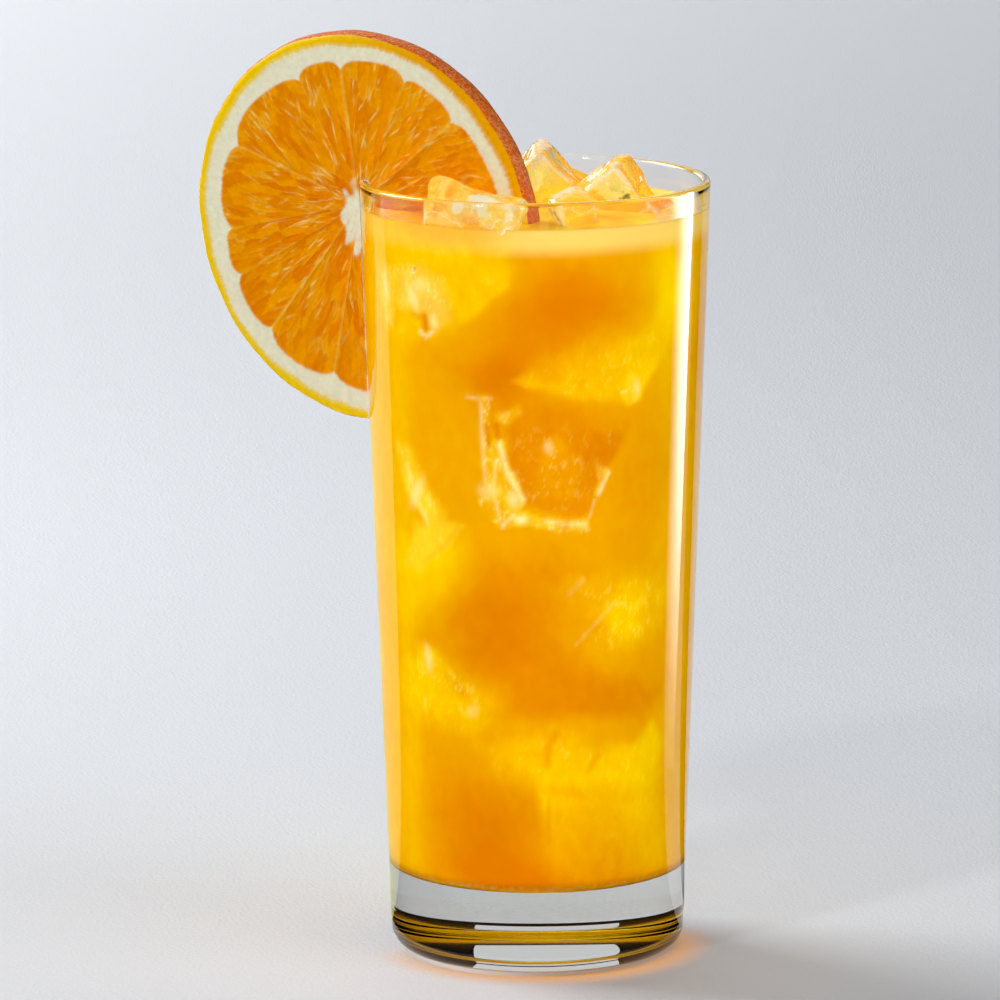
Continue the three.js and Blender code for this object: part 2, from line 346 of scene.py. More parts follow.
def inner_radius(z):
    """Radius of the inside of the glass at a height."""
    return outer_radius(z) - (WALL_AT_FOOT + (WALL_AT_RIM - WALL_AT_FOOT) * z / GLASS_HEIGHT)


# Middle of the rounded corner between the inner wall and the inner floor, and of the round rim.
CORNER_Z = BASE_THICKNESS + FLOOR_CORNER_RADIUS
CORNER_R = inner_radius(CORNER_Z) - FLOOR_CORNER_RADIUS
RIM_ROUND = WALL_AT_RIM / 2
RIM_Z = GLASS_HEIGHT - RIM_ROUND


def arc(r, z, radius, start, end, steps):
    """Points of a profile on an arc about r and z, between two angles in degrees."""
    angles = np.radians(np.linspace(start, end, steps + 1))
    return [(r + radius * math.cos(a), z + radius * math.sin(a)) for a in angles]


def rim_arc(grow, steps):
    """The round top of the glass's wall, grown by a little if it is to clear it."""
    return arc(outer_radius(RIM_Z) - RIM_ROUND, RIM_Z, RIM_ROUND + grow, 0, 180, steps)


def make_object(name, points, quads, triangles=()):
    """A smooth mesh object from millimetre points and faces."""
    mesh = bpy.data.meshes.new(name)
    points = np.asarray(points, float)
    quads = np.asarray(quads, int).reshape(-1, 4)
    triangles = np.asarray(triangles, int).reshape(-1, 3)
    mesh.vertices.add(len(points))
    mesh.vertices.foreach_set("co", (points * MM).ravel())
    corners = np.concatenate([quads.ravel(), triangles.ravel()])
    mesh.loops.add(len(corners))
    mesh.loops.foreach_set("vertex_index", corners)
    starts = np.concatenate([4 * np.arange(len(quads)), 4 * len(quads) + 3 * np.arange(len(triangles))])
    mesh.polygons.add(len(starts))
    mesh.polygons.foreach_set("loop_start", starts)
    mesh.polygons.foreach_set("use_smooth", np.ones(len(starts), bool))
    mesh.update(calc_edges=True)
    obj = bpy.data.objects.new(name, mesh)
    bpy.context.collection.objects.link(obj)
    return obj


def grid_quads(cell):
    """Faces between neighbours in a grid of point numbers."""
    return np.stack([cell[:-1, :-1], cell[1:, :-1], cell[1:, 1:], cell[:-1, 1:]], -1).reshape(-1, 4)


def skin(name, rows, looped=False):
    """A closed surface through rows of points; a row of one point is a pole."""
    starts = np.cumsum([0] + [len(row) for row in rows])
    quads = []
    triangles = [np.zeros((0, 3), int)]
    for i in range(len(rows) if looped else len(rows) - 1):
        k = (i + 1) % len(rows)
        count = max(len(rows[i]), len(rows[k]))
        j = np.arange(count)
        step = (j + 1) % count
        if len(rows[i]) == 1:
            triangles.append(np.stack([np.full(count, starts[i]), starts[k] + step, starts[k] + j], 1))
        elif len(rows[k]) == 1:
            triangles.append(np.stack([starts[i] + j, starts[i] + step, np.full(count, starts[k])], 1))
        else:
            quads.append(np.stack([starts[i] + j, starts[i] + step, starts[k] + step, starts[k] + j], 1))
    return make_object(name, np.concatenate(rows), np.concatenate(quads), np.concatenate(triangles))


def even_angles(count):
    return 2 * np.pi * np.arange(count) / count


def revolve(name, profile, angles, looped=False):
    """A surface of revolution about the glass's axis, from points of radius and height."""
    rows = []
    for r, z in profile:
        if r == 0:
            rows.append(np.array([[0.0, 0.0, z]]))
        else:
            height = np.full(len(angles), z)
            rows.append(np.stack([r * np.cos(angles), r * np.sin(angles), height], 1))
    return skin(name, rows, looped)


def carve(target, cutter):
    """Cuts cutter out of target; cutter is then removed."""
    modifier = target.modifiers.new("carve", "BOOLEAN")
    modifier.operation = "DIFFERENCE"
    modifier.solver = "MANIFOLD"
    modifier.object = cutter
    graph = bpy.context.evaluated_depsgraph_get()
    mesh = bpy.data.meshes.new_from_object(target.evaluated_get(graph))
    target.modifiers.remove(modifier)
    target.data = mesh
    bpy.data.objects.remove(cutter)


def points_of(obj):
    """Points of a mesh object, in millimetres."""
    flat = np.zeros(len(obj.data.vertices) * 3)
    obj.data.vertices.foreach_get("co", flat)
    return flat.reshape(-1, 3) / MM


def set_values(obj, name, values):
    data = obj.data.attributes.new(name, "FLOAT", "POINT")
    data.data.foreach_set("value", np.asarray(values, np.float32))


def set_colours(obj, name, colours):
    data = obj.data.attributes.new(name, "FLOAT_COLOR", "POINT")
    rgba = np.ones((len(colours), 4), np.float32)
    rgba[:, :3] = colours
    data.data.foreach_set("color", rgba.ravel())


def smoothstep(low, high, x):
    t = np.clip((x - low) / (high - low), 0, 1)
    return t * t * (3 - 2 * t)


def bell(x):
    """1 where x is 0, falling smoothly to 0 on both sides."""
    return np.exp(-(x**2))


def mix(a, b, t):
    """Colours a where t is 0 and b where t is 1."""
    t = np.asarray(t)[..., None]
    return np.asarray(a) * (1 - t) + np.asarray(b) * t


def noise_at(points, octaves=3):
    """Smooth noise, about -1 to 1, at every point."""
    return np.array([noise.fractal(Vector(at), 0.9, 2.1, octaves) for at in points])


def layer_noise(x, y, layer):
    """Smooth noise at every x and y, of its own kind for each layer."""
    return noise_at(np.stack([x, y, np.full(len(x), layer)], 1))


class Nodes:
    """The nodes of a material, a lamp or the world."""

    def __init__(self, owner, kind="Material"):
        self.owner = owner
        owner.use_nodes = True
        self.tree = owner.node_tree
        self.tree.nodes.clear()
        self.output = self.add("ShaderNodeOutput" + kind)

    def add(self, kind, values=None, **settings):
        """A new node with values for its sockets and with its settings."""
        node = self.tree.nodes.new(kind)
        for key, value in settings.items():
            setattr(node, key, value)
        for key, value in (values or {}).items():
            node.inputs[key].default_value = value
        return node

    def join(self, source, target):
        self.tree.links.new(source, target)

    def show(self, shader):
        """Makes a shader the surface."""
        self.join(shader.outputs[0], self.output.inputs["Surface"])

    def attribute(self, name, output="Fac"):
        return self.add("ShaderNodeAttribute", attribute_name=name).outputs[output]

    def place(self):
        """Place in the piece's own space."""
        return self.add("ShaderNodeTexCoord").outputs["Object"]

    def grain(self, scale, detail):
        """Fine noise in the piece's own space."""
        texture = self.add("ShaderNodeTexNoise", {"Scale": scale, "Detail": detail})
        self.join(self.place(), texture.inputs["Vector"])
        return texture.outputs["Fac"]

    def bump(self, shader, height, strength, distance):
        """Roughens a shader's surface by a height."""
        node = self.add("ShaderNodeBump", {"Strength": strength, "Distance": distance})
        self.join(height, node.inputs["Height"])
        self.join(node.outputs["Normal"], shader.inputs["Normal"])

    def spread(self, value, ends, **settings):
        """A value mapped between the ends of two ranges."""
        node = self.add("ShaderNodeMapRange", ends, **settings)
        self.join(value, node.inputs["Value"])
        return node.outputs["Result"]

    def both(self, operation, first, second):
        """Two values put together by a math node."""
        node = self.add("ShaderNodeMath", operation=operation)
        self.join(first, node.inputs[0])
        self.join(second, node.inputs[1])
        return node.outputs[0]

    def scaled(self, colour, factor):
        node = self.add("ShaderNodeVectorMath", operation="SCALE")
        self.join(colour, node.inputs[0])
        self.join(factor, node.inputs["Scale"])
        return node.outputs["Vector"]

    def blend(self, fraction, first, second):
        """The first shader where fraction is 0 and the second where it is 1."""
        node = self.add("ShaderNodeMixShader")
        self.join(fraction, node.inputs[0])
        self.join(first.outputs[0], node.inputs[1])
        self.join(second.outputs[0], node.inputs[2])
        return node


def material_nodes(name):
    return Nodes(bpy.data.materials.new(name))


def clear_material(name, colour, ior):
    """Clear glass or ice that lets the lamps through to what is inside."""
    nodes = material_nodes(name)
    clear = {"Base Color": (*colour, 1), "Roughness": 0, "IOR": ior, "Transmission Weight": 1}
    shader = nodes.add("ShaderNodeBsdfPrincipled", clear)
    see_through = nodes.add("ShaderNodeBsdfTransparent", {"Color": (*colour, 1)})
    path = nodes.add("ShaderNodeLightPath")
    either = nodes.both("MAXIMUM", path.outputs["Is Shadow Ray"], path.outputs["Is Diffuse Ray"])
    nodes.show(nodes.blend(either, shader, see_through))
    return nodes, shader


def glass_material():
    nodes, shader = clear_material("clear_glass", (1, 1, 1), ior=1.5)
    nodes.bump(shader, nodes.grain(scale=35, detail=1), strength=0.05, distance=0.0006)
    tint = nodes.add("ShaderNodeVolumeAbsorption", {"Color": (0.66, 0.7, 0.7, 1), "Density": 16})
    nodes.join(tint.outputs[0], nodes.output.inputs["Volume"])
    return nodes.owner


def dress(obj, material, node):
    """Gives a piece its material and puts it in the place of one of the part's nodes."""
    obj.data.materials.clear()
    obj.data.materials.append(material)
    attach(obj, "root")
    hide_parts(node)


def glass_piece():
    """The tumbler: under the base, heel, outer wall, rim, inner wall and inner floor."""
    heel_r = outer_radius(HEEL_RADIUS) - HEEL_RADIUS
    outer_heights = np.linspace(20, 140, 7)
    inner_heights = np.linspace(140, 35, 7)
    profile = [(0, 0), (heel_r / 2, 0)]
    profile += arc(heel_r, HEEL_RADIUS, HEEL_RADIUS, -90, 0, 12)
    profile += [(outer_radius(z), z) for z in outer_heights]
    profile += rim_arc(0, 14)
    profile += [(inner_radius(z), z) for z in inner_heights]
    profile += arc(CORNER_R, CORNER_Z, FLOOR_CORNER_RADIUS, 0, -90, 10)
    profile += [(CORNER_R / 2, BASE_THICKNESS), (0, BASE_THICKNESS)]
    return revolve("glass_smooth", profile, even_angles(GLASS_COLUMNS))


def cube_skin(divisions):
    """Points and faces of a cube from -1 to 1 with divided sides, joined at the edges."""
    line = np.linspace(-1, 1, divisions + 1)
    u, v = np.meshgrid(line, line, indexing="ij")
    sides = []
    for axis in range(3):
        for sign in (-1, 1):
            side = np.zeros((divisions + 1, divisions + 1, 3))
            side[..., axis] = sign
            side[..., (axis + 1) % 3] = u if sign > 0 else v
            side[..., (axis + 2) % 3] = v if sign > 0 else u
            sides.append(side.reshape(-1, 3))
    points = np.concatenate(sides)
    per_side = (divisions + 1) ** 2
    quad = grid_quads(np.arange(per_side).reshape(divisions + 1, divisions + 1))
    quads = np.concatenate([quad + i * per_side for i in range(len(sides))])
    keys = np.round(points * 1e4).astype(int)
    _, index, inverse = np.unique(keys, axis=0, return_index=True, return_inverse=True)
    return points[index], inverse.reshape(-1)[quads]


def ice_block(name, at, size, turn, grow, divisions, seed):
    """A block with rounded edges and melted faces."""
    points, quads = cube_skin(divisions)
    half = np.array(size) / 2
    points = points * half
    core = np.clip(points, ICE_CORNER_RADIUS - half, half - ICE_CORNER_RADIUS)
    outward = points - core
    outward /= np.linalg.norm(outward, axis=1, keepdims=True)
    draw = np.random.default_rng(seed)
    melt = np.zeros(len(points))
    for scale, depth in ICE_MELT:
        for _ in range(3):
            direction = draw.normal(size=3)
            direction /= np.linalg.norm(direction)
            melt += depth * np.sin(scale * points @ direction + draw.uniform(0, 6.3))
    points = core + outward * (ICE_CORNER_RADIUS + grow + melt)[:, None]
    spin = np.array(Euler([math.radians(t) for t in turn], "XYZ").to_matrix())
    block = make_object(name, points @ spin.T + np.array(at), quads)
    set_values(block, "edge", smoothstep(0.25, 0.6, np.sort(np.abs(outward), axis=1)[:, 1]))
    return block


def soak_ice(block, cloudiness):
    """Tints the ice with the drink: juice on it, and painted light of the drink seen through it.
    Clouds it in patches, whitens its cracks and paints white highlights on its edges and in patches.
    """
    p = points_of(block)
    edge = np.zeros(len(p), np.float32)
    block.data.attributes["edge"].data.foreach_get("value", edge)
    wave = np.sin(0.5 * p[:, 0] + 0.3 * p[:, 2]) + np.sin(0.45 * p[:, 1] - 0.4 * p[:, 2] + 1)
    dry = smoothstep(DRINK_LEVEL - 2, DRINK_LEVEL + 12, p[:, 2] + 1.5 * wave)
    patch = noise_at(0.17 * p)
    crack = noise_at(0.15 * p + 50, octaves=2)
    cloud = cloudiness * smoothstep(-0.35, 0.3, patch)
    # Painted white highlights along the edges and in patches, and whiter cracks.
    white = 0.5 * bell(crack / 0.035) + 0.6 * edge * smoothstep(-0.3, 0.3, crack)
    white = np.clip(white + 0.6 * smoothstep(0.28, 0.45, patch), 0, 0.85)
    tint = mix(ICE_WET, ICE_DRY, dry)
    tint = mix(tint, ICE_CLOUDED, cloud)
    set_colours(block, "tint", mix(tint, ICE_WHITE, white))
    set_values(block, "frost_and_highlight", np.clip(cloud + white, 0, 0.9))


def ice_material():
    nodes, shader = clear_material("wet_ice", (1, 0.97, 0.7), ior=1.31)
    tint = nodes.attribute("tint", "Color")
    nodes.join(tint, shader.inputs["Base Color"])
    nodes.join(tint, shader.inputs["Emission Color"])
    # The ice glows faintly with its tint, painted light.
    shader.inputs["Emission Strength"].default_value = 0.08
    clear = nodes.spread(nodes.attribute("frost_and_highlight"), {"To Min": 1, "To Max": 0})
    nodes.join(clear, shader.inputs["Transmission Weight"])
    nodes.bump(shader, nodes.grain(scale=240, detail=2), strength=0.5, distance=0.0012)
    return nodes.owner


def drink_piece():
    """The drink, hollowed where ice stands in it, with sunk ice, light and shade painted on its side."""
    bottom = BASE_THICKNESS - INTO_WALL
    profile = [(0, bottom), (10, bottom)]
    profile += arc(CORNER_R, CORNER_Z, FLOOR_CORNER_RADIUS + INTO_WALL, -90, 0, 10)
    wall = np.linspace(CORNER_Z + 0.6, DRINK_LEVEL + 0.8, DRINK_WALL_ROWS)
    profile += [(inner_radius(z) + INTO_WALL, z) for z in wall]
    edge = inner_radius(DRINK_LEVEL)
    for inward, above in DRINK_CREEP:
        profile.append((edge - inward, DRINK_LEVEL + above))
    profile += [(r, DRINK_LEVEL) for r in np.arange(29.5, 1, -1.5)]
    profile += [(0, DRINK_LEVEL)]
    front = np.linspace(-DRINK_FRONT, DRINK_FRONT, DRINK_FRONT_COLUMNS, endpoint=False)
    back = np.linspace(DRINK_FRONT, 360 - DRINK_FRONT, DRINK_BACK_COLUMNS, endpoint=False)
    drink = revolve("drink_body", profile, np.radians(np.concatenate([front, back]) - 90))
    for i, (name, (at, size, turn, _)) in enumerate(ICE_OUT.items()):
        carve(drink, ice_block(name + "_room", at, size, turn, -0.06, ICE_ROOM_DIVISIONS, ICE_SEED + i))
    colours, side = drink_colours(points_of(drink))
    set_colours(drink, "tint", colours)
    set_values(drink, "gloss", 1 - side)
    return drink


def drink_colours(p):
    """Colours of the drink with painted light and shade,
    and 1 at its side or 0 at its surface, at every point.
    """
    x, y, z = p.T
    bearing = np.degrees(np.arctan2(x, -y))
    radius = np.hypot(x, y)
    from_wall = inner_radius(z) - radius
    side = smoothstep(2.5, 0.5, from_wall)
    light, milk_and_highlight = sunk_ice(bearing, z)
    swirl = layer_noise(0.16 * x, 0.16 * y, 5)
    light = np.clip(light * side + (0.66 + 0.3 * swirl) * (1 - side), 0, 1)
    steps = np.linspace(0, 1, len(DRINK_SHADE_TO_LIGHT))
    colour = np.stack([np.interp(light, steps, channel) for channel in zip(*DRINK_SHADE_TO_LIGHT)], 1)
    band = smoothstep(144.5, 148.2, z) * (0.35 + 0.65 * smoothstep(-25, 0, bearing))
    colour = mix(colour, (1.0, 0.7, 0.17), 0.7 * band * side)
    colour = mix(colour, (1.0, 0.86, 0.42), np.clip(milk_and_highlight, 0, 1) * side)
    bubbly = smoothstep(4, 1, from_wall) * (1 - side)
    froth = bubbly * smoothstep(-0.2, 0.3, layer_noise(0.9 * x, 0.9 * y, 6))
    colour = mix(colour, (1.0, 0.76, 0.25), 0.7 * froth)
    # Painted shade in the drink's bottom corner.
    low = smoothstep(CORNER_Z - 2.2, CORNER_Z - 4.2, z) * smoothstep(0, 6, radius - CORNER_R + 4)
    colour = mix(colour, (0.4, 0.13, 0.0), 0.7 * low)
    # Painted shade under the drink and at the back of its bottom corner, with a painted gold gleam in the
    # middle.
    under = smoothstep(BASE_THICKNESS + 0.6, BASE_THICKNESS, z)
    behind = smoothstep(CORNER_Z + 1, CORNER_Z - 2, z) * smoothstep(80, 110, np.abs(bearing))
    shade_and_gleam = mix((0.07, 0.025, 0.0), (0.75, 0.33, 0.0), bell(x / 9))
    return mix(colour, shade_and_gleam, np.maximum(under, 0.92 * behind)), side


def around(bearing, middle):
    """Distance along the drink's side from a bearing, in millimetres."""
    return DRINK_MEAN_RADIUS * np.radians((bearing - middle + 180) % 360 - 180)


def hidden_side(draw):
    """Glows and faces for the side that the front view doesn't show."""
    glows = []
    faces = []
    for i in range(30):
        strength = 0.35 if i % 2 else -0.35
        extent = draw.uniform(6, 11, 2)
        glows.append((draw.uniform(95, 265), draw.uniform(20, 146), extent[0], extent[1], strength))
    for i in range(16):
        middle = np.array([draw.uniform(95, 265), 22 + 7.6 * i])
        turn = draw.uniform(0, 6.3)
        corners = []
        for k in range(5):
            angle = turn + k * 1.26 + draw.uniform(-0.3, 0.3)
            reach = draw.uniform(0.7, 1.2)
            at = middle + reach * np.array([17 * math.cos(angle), 8 * math.sin(angle)])
            corners.append((at[0], at[1], draw.uniform(0.45, 1), draw.uniform(0.4, 3)))
        faces.append((corners, draw.uniform(0, 0.25), draw.uniform(0, 0.5)))
    return glows, faces


def sunk_ice(bearing, height):
    """Painted light from 0 to 1, and milkiness with painted highlights,
    that the sunk ice gives the drink's side.
    """
    more_glows, more_faces = hidden_side(np.random.default_rng(HIDDEN_SIDE_SEED))
    wave_x = 0.9 * np.sin(0.21 * height + 0.03 * bearing) + 0.5 * np.sin(0.47 * height - 0.09 * bearing + 1)
    wave_y = 0.9 * np.sin(0.09 * bearing + 0.07 * height) + 0.5 * np.sin(0.2 * bearing + 0.23 * height + 2)
    girth = around(bearing, 0)
    mottle = layer_noise(0.4 * girth, 0.3 * height, 3)
    # Painted glint lines where light catches the crinkled ice.
    glint_line = bell(layer_noise(0.32 * girth, 0.22 * height, 9) / 0.06)
    crinkle_glint = 0.75 * glint_line + 0.7 * mottle - 0.1
    # Painted light: lighter towards the drink's left and right sides.
    light = 0.48 + 0.25 * smoothstep(-44, -60, bearing) + 0.12 * smoothstep(38, 55, bearing)
    milk_and_highlight = np.zeros(len(bearing))
    for at, level, wide, tall, strength in SUNK_GLOW + more_glows:
        u = (around(bearing, at) + wave_x) / wide
        v = (height - level + wave_y) / tall
        light += strength * np.exp(-((u * u + v * v) ** 1.15))
    for corners, milky, glinting in SUNK_FACES + more_faces:
        inside, value = face_of(corners, bearing, height, 0.45 * wave_x, 0.45 * wave_y)
        light = light * (1 - inside) + (value + 0.3 * glinting * crinkle_glint) * inside
        milk_and_highlight = milk_and_highlight * (1 - inside) + (milky + 0.7 * glinting * np.maximum(crinkle_glint - 0.1, 0)) * inside
    for at, level, wide, tall, tilt, strength in SUNK_FROST:
        x = around(bearing, at) + 0.4 * wave_x
        y = height - level + 0.4 * wave_y
        c = math.cos(math.radians(tilt))
        s = math.sin(math.radians(tilt))
        spot = np.exp(-(((c * x + s * y) / wide) ** 2 + ((c * y - s * x) / tall) ** 2) ** 1.3)
        milk_and_highlight = np.maximum(milk_and_highlight, strength * spot * (1 + 0.25 * crinkle_glint))
    for corners, wide, strength in SUNK_EDGES:
        line = line_of(corners, wide, bearing, height) * (0.8 + 0.4 * crinkle_glint)
        milk_and_highlight = np.maximum(milk_and_highlight, strength * line) if strength > 0 else milk_and_highlight * (1 + strength * line)
        light = light + min(strength, 0) * line
    # Painted shade in a band on the drink's left side.
    light = light + 0.06 * mottle - 0.12 * smoothstep(-50, -66, bearing) * smoothstep(-120, -90, bearing)
    return light, milk_and_highlight


def face_of(corners, bearing, height, shift_x, shift_y):
    """How far each point is inside a face, from 0 to 1, and the light there."""
    middle = corners[0][0]
    x = around(bearing, middle) + shift_x
    y = height + shift_y
    ring = [(float(around(np.array(b), middle)), z) for b, z, _, _ in corners]
    nearest = np.full(len(bearing), np.inf)
    within = np.zeros(len(bearing), bool)
    for (x0, y0), (x1, y1) in zip(ring, ring[1:] + ring[:1]):
        run_x = x1 - x0
        run_y = y1 - y0
        along = np.clip(((x - x0) * run_x + (y - y0) * run_y) / (run_x**2 + run_y**2), 0, 1)
        nearest = np.minimum(nearest, np.hypot(x - x0 - along * run_x, y - y0 - along * run_y))
        spans = (y0 > y) != (y1 > y)
        rise = run_y if run_y else 1e-9
        within ^= spans & (x < x0 + run_x * (y - y0) / rise)
    weights = [1 / ((x - cx) ** 2 + (y - cy) ** 2 + 0.3) for cx, cy in ring]
    total = sum(weights)
    value = sum(w * c[2] for w, c in zip(weights, corners)) / total
    soft = sum(w * c[3] for w, c in zip(weights, corners)) / total
    depth = np.where(within, nearest, -nearest)
    return smoothstep(-1, 1, depth / soft), value


def line_of(corners, wide, bearing, height):
    """Strength, from 0 to 1, of a soft line through points of bearing and height."""
    line = np.zeros(len(bearing))
    for (b0, z0), (b1, z1) in zip(corners[:-1], corners[1:]):
        x = around(bearing, b0)
        y = height - z0
        run_x = float(around(np.array(b1), b0))
        run_y = z1 - z0
        along = np.clip((x * run_x + y * run_y) / (run_x**2 + run_y**2), 0, 1)
        away = np.hypot(x - along * run_x, y - along * run_y)
        line = np.maximum(line, bell(away / wide))
    return line


def drink_material():
    nodes = material_nodes("cloudy_orange_drink")
    # The drink glows with its own colour: painted light for the light scattered through it.
    shader = nodes.add("ShaderNodeBsdfPrincipled", {"Emission Strength": 0.4, "Specular IOR Level": 0.08})
    shade = nodes.spread(nodes.grain(scale=70, detail=4), {"To Min": 0.9, "To Max": 1.08})
    tinted = nodes.scaled(nodes.attribute("tint", "Color"), shade)
    nodes.join(tinted, shader.inputs["Base Color"])
    nodes.join(tinted, shader.inputs["Emission Color"])
    rough = nodes.spread(nodes.attribute("gloss"), {"To Min": 0.9, "To Max": 0.12})
    nodes.join(rough, shader.inputs["Roughness"])
    nodes.show(shader)
    return nodes.owner


def slice_axes():
    """The wheel's own directions: across and up its cut face, and out of the face."""
    across = np.array([math.cos(SLICE_TURN), -math.sin(SLICE_TURN), 0.0])
    level = -math.cos(SLICE_LEAN)
    face = np.array([math.sin(SLICE_TURN) * level, math.cos(SLICE_TURN) * level, -math.sin(SLICE_LEAN)])
    return np.stack([across, np.cross(face, across), face])


class Wheel:
    """Columns and outlines of the orange wheel, and the one source of its random draws."""

    def __init__(self):
        self.draw = np.random.default_rng(SLICE_SEED)
        self.angles, self.across, self.segment, self.span = self.columns()
        self.count = len(self.angles)
        angles = self.angles
        self.direction = np.stack([np.cos(angles), np.sin(angles)], 1)
        flesh = FLESH_RADIUS - SCALLOP_DEPTH * np.abs(self.across) ** 5
        self.flesh = flesh + 0.35 * np.sin(5 * angles + 1) + 0.2 * np.sin(11 * angles)
        self.outline = SLICE_RADIUS - 0.2 + 0.2 * np.sin(3 * angles + 0.5) + 0.08 * np.sin(17 * angles)
        pith = SLICE_RADIUS - ZEST_THICKNESS + 0.25 * np.sin(7 * angles) + 0.15 * np.sin(19 * angles)
        self.pith = pith + self.draw.normal(0, 0.13, self.count)
        turned = smoothstep(np.radians(115), np.radians(60), angles) * smoothstep(np.radians(-60), 0, angles)
        self.zest_colours = mix((1.0, 0.63, 0.0), (0.9, 0.4, 0.0), turned)

    def columns(self):
        """Angle, place across the segment from -1 to 1, segment and its span, of every column."""
        edges = np.radians(SEGMENT_EDGES_DEG + [SEGMENT_EDGES_DEG[0] + 360])
        found = []
        for i, (start, end) in enumerate(zip(edges[:-1], edges[1:])):
            count = max(8, round(SLICE_COLUMNS * (end - start) / (2 * np.pi)))
            across = -1 + 2 * np.arange(count) / count
            angles = start + (end - start) * (across + 1) / 2
            found.append((angles, across, np.full(count, i), np.full(count, end - start)))
        return [np.concatenate(values) for values in zip(*found)]

    def ring(self, radius, z):
        """A row of points at a radius and a height for every column."""
        return np.concatenate([radius[:, None] * self.direction, z[:, None]], 1)


def pulp_cells(along, sideways, segment, draw):
    """Distance to the border of the juice sacs, and a tone for each sac."""
    border = np.zeros(len(along))
    tone = np.zeros(len(along))
    for i in range(len(SEGMENT_EDGES_DEG)):
        chosen = segment == i
        x = along[chosen] / SAC_LENGTH
        y = sideways[chosen] / SAC_WIDTH
        reach = np.abs(y).max() + 1
        count = int(8 * 2 * reach * 1.5)
        seeds = np.stack([draw.uniform(-0.5, 8, count), draw.uniform(-reach, reach, count)], 1)
        distance = np.hypot(x[:, None] - seeds[:, 0], y[:, None] - seeds[:, 1])
        order = np.argsort(distance, axis=1)[:, :2]
        near = np.take_along_axis(distance, order, 1)
        border[chosen] = near[:, 1] - near[:, 0]
        tone[chosen] = draw.uniform(-1, 1, count)[order[:, 0]]
    return border, tone


def wet_glints(grid, draw):
    """Strength, from 0 to 1, of short bright streaks along the wet juice sacs."""
    strength = np.zeros(grid.shape[:2])
    for _ in range(GLINTS):
        angle = draw.uniform(0, 2 * np.pi)
        at = HUB + draw.uniform(5, 33) * np.array([math.cos(angle), math.sin(angle)])
        lean = angle + draw.normal(0, 0.3)
        length = draw.uniform(0.5, 1.7)
        width = draw.uniform(0.1, 0.18)
        most = draw.uniform(0.35, 1)
        away = grid - at
        along = away @ np.array([math.cos(lean), math.sin(lean)])
        aside = away @ np.array([-math.sin(lean), math.cos(lean)])
        strength = np.maximum(strength, most * np.exp(-((along / length) ** 2) - (aside / width) ** 2))
    return strength


def flesh_strips(wheel, side):
    """Strips of the flesh on one side, outwards from the hub: points, colours, gloss and peel."""
    across = wheel.across
    parts = np.concatenate([np.linspace(0.03, 0.93, 56), np.linspace(0.945, 1, 8)])
    spokes = wheel.flesh[:, None] * wheel.direction - HUB
    grid = HUB + spokes * parts[:, None, None]
    along = parts[:, None] * np.linalg.norm(spokes, axis=1)
    half_width = along * np.sin(wheel.span / 2)
    segments = np.tile(wheel.segment, len(parts))
    border, tone = pulp_cells(along.ravel(), (across * half_width).ravel(), segments, wheel.draw)
    border = border.reshape(along.shape)
    tone = tone.reshape(along.shape)
    to_membrane = (1 - np.abs(across)) * half_width
    glint = wet_glints(grid, wheel.draw)

    swell = np.sin(np.pi * parts**0.8)[:, None] ** 0.6
    rise = (0.55 * (1 - across**4) - 0.45 * across**8) * smoothstep(0.05, 0.3, parts)[:, None]
    sac = 0.28 * smoothstep(0, 0.7, border) - 0.14 + 0.1 * tone
    height = SLICE_THICKNESS / 2 - 0.6 + rise * swell + sac * smoothstep(0, 1.2, to_membrane) + 0.12 * glint

    x = grid[..., 0]
    y = grid[..., 1]
    nearest_edge = (wheel.segment + (across > 0)) % len(SEGMENT_EDGES_DEG)
    membrane_line = np.array(MEMBRANE_STRENGTH)[nearest_edge] * bell(to_membrane / 0.3)
    patchy = 0.5 + 0.5 * np.sin(0.55 * x + 1.3 * np.sin(0.4 * y) + side)
    patchy = patchy * (0.5 + 0.5 * np.sin(0.7 * y + 1.1 * np.sin(0.5 * x)))
    line = (0.05 + 0.5 * patchy) * bell(border / 0.12) + (0.5 + 0.5 * patchy) * membrane_line
    light = np.clip(0.55 + 0.36 * tone + 0.25 * (parts[:, None] - 0.5), 0, 1)
    colour = mix(FLESH_DEEP, FLESH_LIGHT, light)
    colour = mix(colour, MEMBRANE_COLOUR, np.clip(line, 0, 1))
    colour = mix(colour, GLINT_COLOUR, glint)
    ragged = np.sin(2.1 * x + 1.7 * np.sin(0.9 * y)) + np.sin(1.3 * y + 2 * np.sin(1.1 * x))
    core = smoothstep(1.0, 0.65, np.hypot((x + 1.2) / 3.6, (y - 1.5) / 7.5) + 0.13 * ragged)
    white = np.clip(core + smoothstep(0.98, 1.0, parts)[:, None], 0, 1)
    colour = mix(colour, PITH_COLOUR, white)
    points = np.concatenate([grid, side * height[..., None]], -1)
    return [(points[i], colour[i], 0.9 - 0.8 * white[i], 0) for i in range(len(parts))]


def rind_strips(wheel, side):
    """Strips of the pith and the zest on one side, outwards: points, colours, gloss and peel."""
    half = SLICE_THICKNESS / 2
    strips = []
    for t in (0.15, 0.35, 0.55, 0.75, 0.9, 1.0):
        z = half - 0.28 + 0.1 * t + wheel.draw.normal(0, 0.03, wheel.count)
        colours = mix(PITH_COLOUR, wheel.zest_colours, smoothstep(0.8, 1.1, np.full(wheel.count, t)))
        strips.append((wheel.ring(wheel.flesh + (wheel.pith - wheel.flesh) * t, side * z), colours, 0.1, 0))
    for t in (0.3, 0.6, 0.85):
        z = half - 0.1 - 0.5 * smoothstep(0.5, 1, t) + wheel.draw.normal(0, 0.03, wheel.count)
        radius = wheel.pith + (wheel.outline - wheel.pith) * t
        strips.append((wheel.ring(radius, side * z), wheel.zest_colours, 0.2, 0))
    return strips


